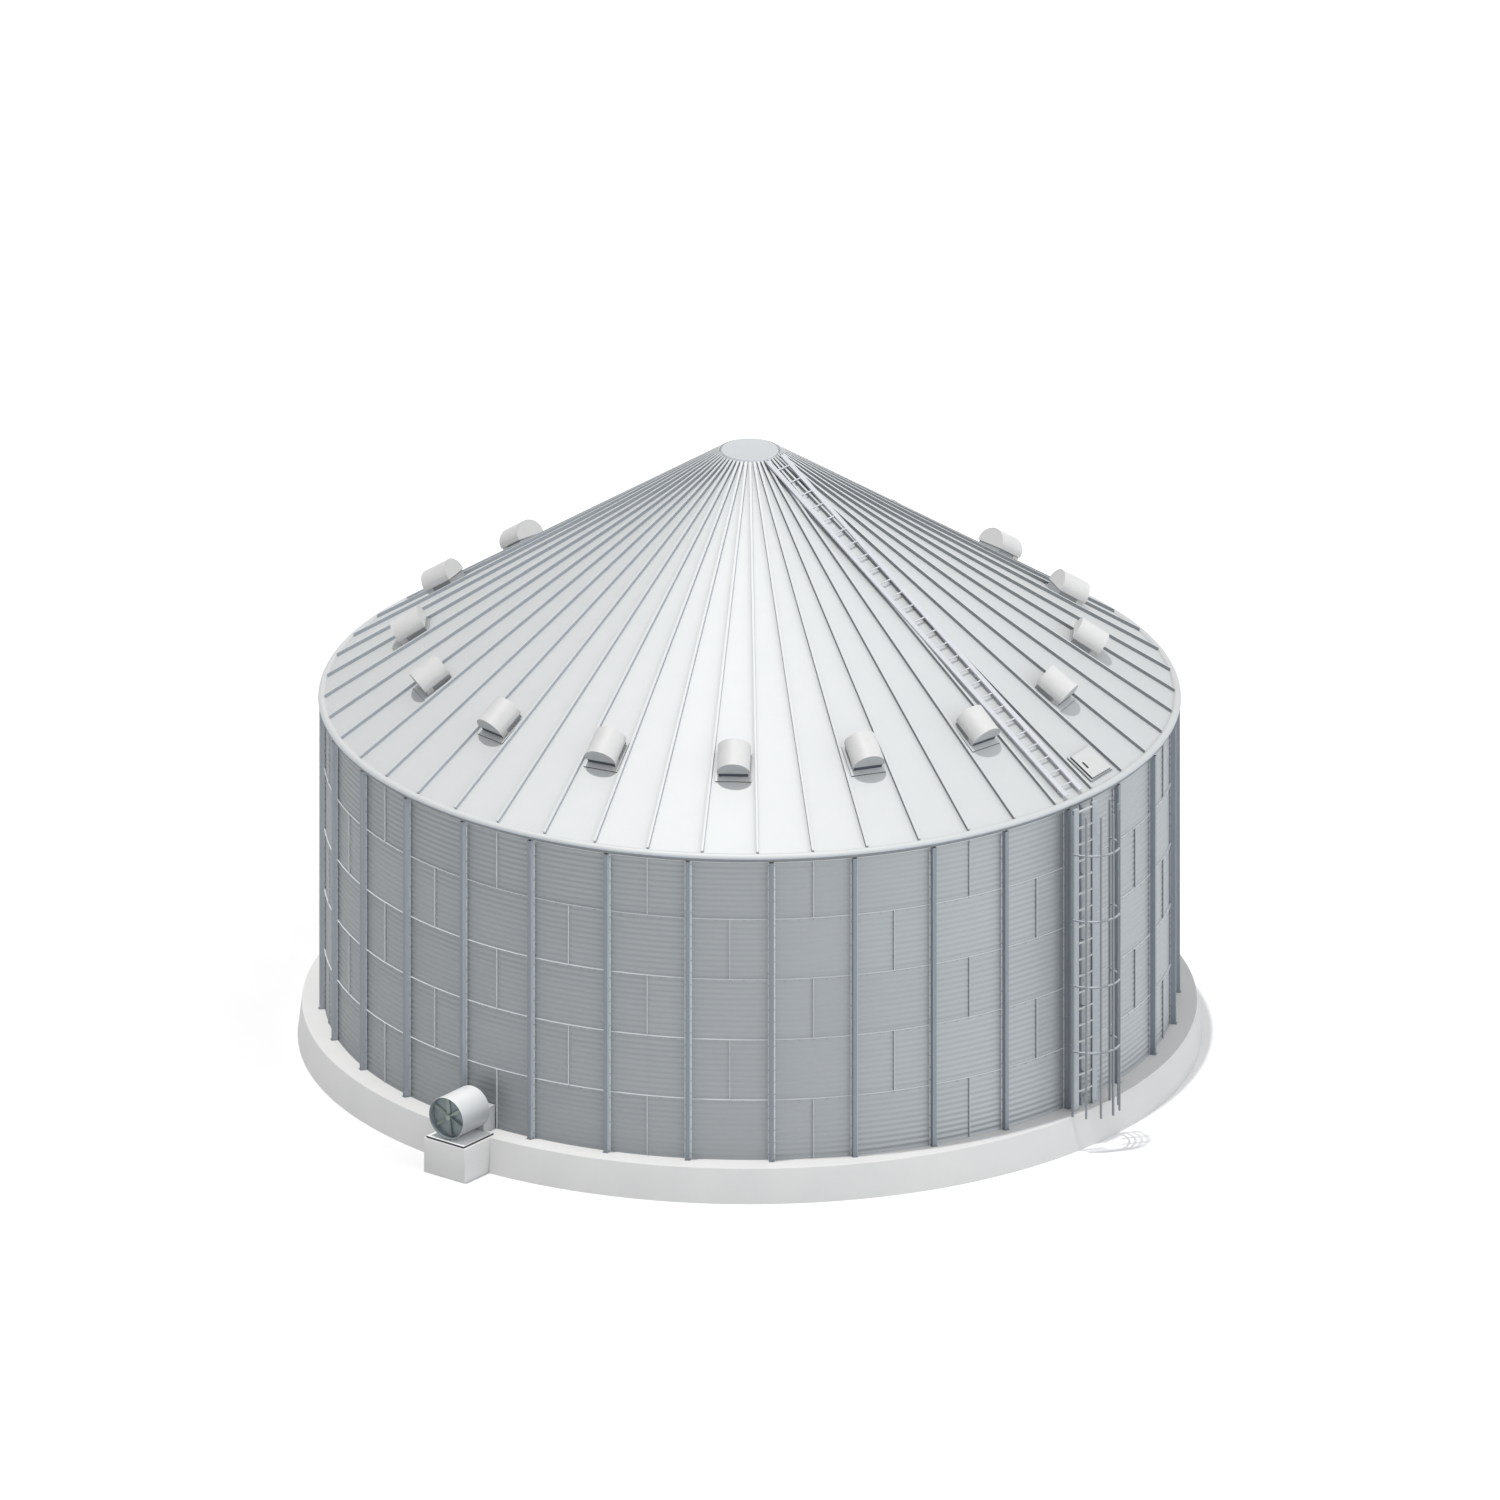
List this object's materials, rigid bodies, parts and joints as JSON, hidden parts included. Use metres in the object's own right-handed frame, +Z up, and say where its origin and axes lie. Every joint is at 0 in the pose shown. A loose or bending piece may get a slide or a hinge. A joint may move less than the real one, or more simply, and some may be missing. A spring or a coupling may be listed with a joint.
{
  "type": "grain silo",
  "caption": "Round corrugated steel grain silo with a ribbed cone roof, roof vents, caged ladder, roof hatch and aeration fan on a concrete foundation.",
  "frame": {"origin": "on the silo's axis at ground level, the middle of the foundation's underside", "axes": "+Z up along the silo's axis; -Y towards the side that the picture looks at, between the fan and the ladder; +X to that side's right"},
  "size_m": [15.55, 15.55, 10.86],
  "materials": {
    "concrete": "cast concrete",
    "galvanised_steel": "galvanised sheet",
    "roof_steel": "galvanised roof sheet",
    "vent_steel": "off-white coated sheet",
    "bright_steel": "bright galvanised sheet",
    "blade_paint": "dark grey-green paint"
  },
  "bodies": {
    "silo": {"foundation": "concrete", "fan_pad": "concrete", "wall_01": "galvanised_steel", "wall_02": "galvanised_steel", "wall_03": "galvanised_steel", "wall_04": "galvanised_steel", "wall_05": "galvanised_steel", "wall_06": "galvanised_steel", "wall_07": "galvanised_steel", "wall_08": "galvanised_steel", "eave_ring": "galvanised_steel", "roof_01": "roof_steel", "roof_02": "roof_steel", "roof_03": "roof_steel", "roof_04": "roof_steel", "roof_05": "roof_steel", "roof_06": "roof_steel", "roof_07": "roof_steel", "roof_08": "roof_steel", "peak_cap": "roof_steel", "roof_vent_01": "vent_steel", "roof_vent_02": "vent_steel", "roof_vent_03": "vent_steel", "roof_vent_04": "vent_steel", "roof_vent_05": "vent_steel", "roof_vent_06": "vent_steel", "roof_vent_07": "vent_steel", "roof_vent_08": "vent_steel", "roof_vent_09": "vent_steel", "roof_vent_10": "vent_steel", "roof_vent_11": "vent_steel", "roof_vent_12": "vent_steel", "roof_vent_13": "vent_steel", "roof_vent_14": "vent_steel", "roof_vent_15": "vent_steel", "roof_vent_16": "vent_steel", "roof_ladder": "galvanised_steel", "wall_ladder": "galvanised_steel", "ladder_cage": "galvanised_steel", "hatch_frame": "galvanised_steel", "fan_plate": "galvanised_steel", "fan_housing": "bright_steel", "fan_duct": "galvanised_steel"},
    "lid": {"hatch_lid": "roof_steel"},
    "rotor": {"fan_rotor": "blade_paint"}
  },
  "joints": [
    {"name": "hatch_hinge", "type": "hinge", "parent": "silo", "child": "lid", "pos_m": [6.18336, -3.22933, 6.57218], "axis": [-0.722, 0.4168, 0.5522], "range_deg": [0, 110]},
    {"name": "fan_spin", "type": "hinge", "parent": "silo", "child": "rotor", "pos_m": [-4.83453, -6.65417, 1.085], "axis": [-0.5878, -0.809, 0], "continuous": true}
  ]
}
